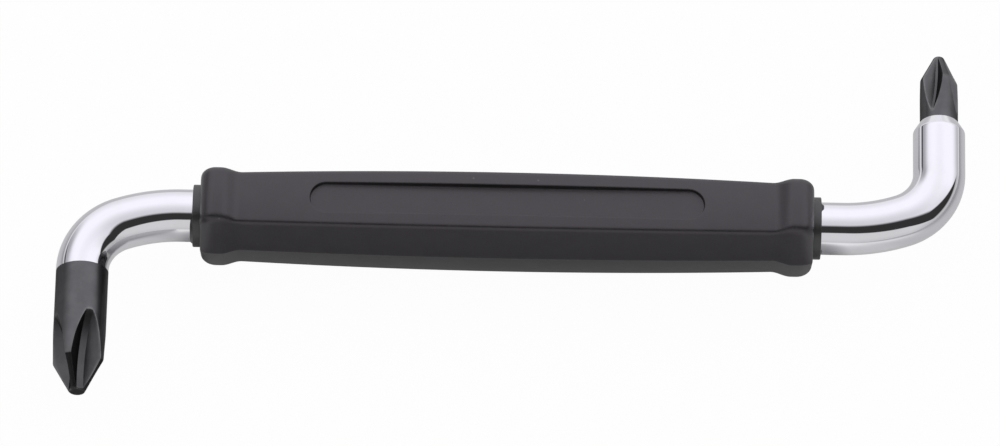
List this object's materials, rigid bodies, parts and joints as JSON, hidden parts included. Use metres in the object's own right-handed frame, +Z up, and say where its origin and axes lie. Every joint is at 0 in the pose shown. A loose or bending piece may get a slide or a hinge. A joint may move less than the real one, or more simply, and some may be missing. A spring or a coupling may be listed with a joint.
{
  "type": "offset screwdriver",
  "caption": "Z-shaped offset screwdriver with a moulded black handle and, at each end, a cranked bright shank with a blackened cross-point tip.",
  "frame": {"origin": "under the middle of the whole tool's box, on the surface that it lies on", "axes": "+X along the handle from the size 2 end to the size 1 end, +Y the way the size 1 leg points, +Z up through the recessed face"},
  "size_m": [0.1038, 0.045, 0.0126],
  "materials": {
    "handle_plastic": "matt black moulded plastic with a fine grain",
    "chrome_plate": "polished chrome plate",
    "ferrule_black": "black finished steel, satin",
    "black_steel": "blackened hardened steel, satin"
  },
  "bodies": {
    "root": {"handle": "handle_plastic", "ph2_shank": "chrome_plate", "ph1_shank": "chrome_plate", "ph2_ferrule": "ferrule_black", "ph1_ferrule": "ferrule_black", "ph2_tip": "black_steel", "ph1_tip": "black_steel"}
  },
  "joints": []
}
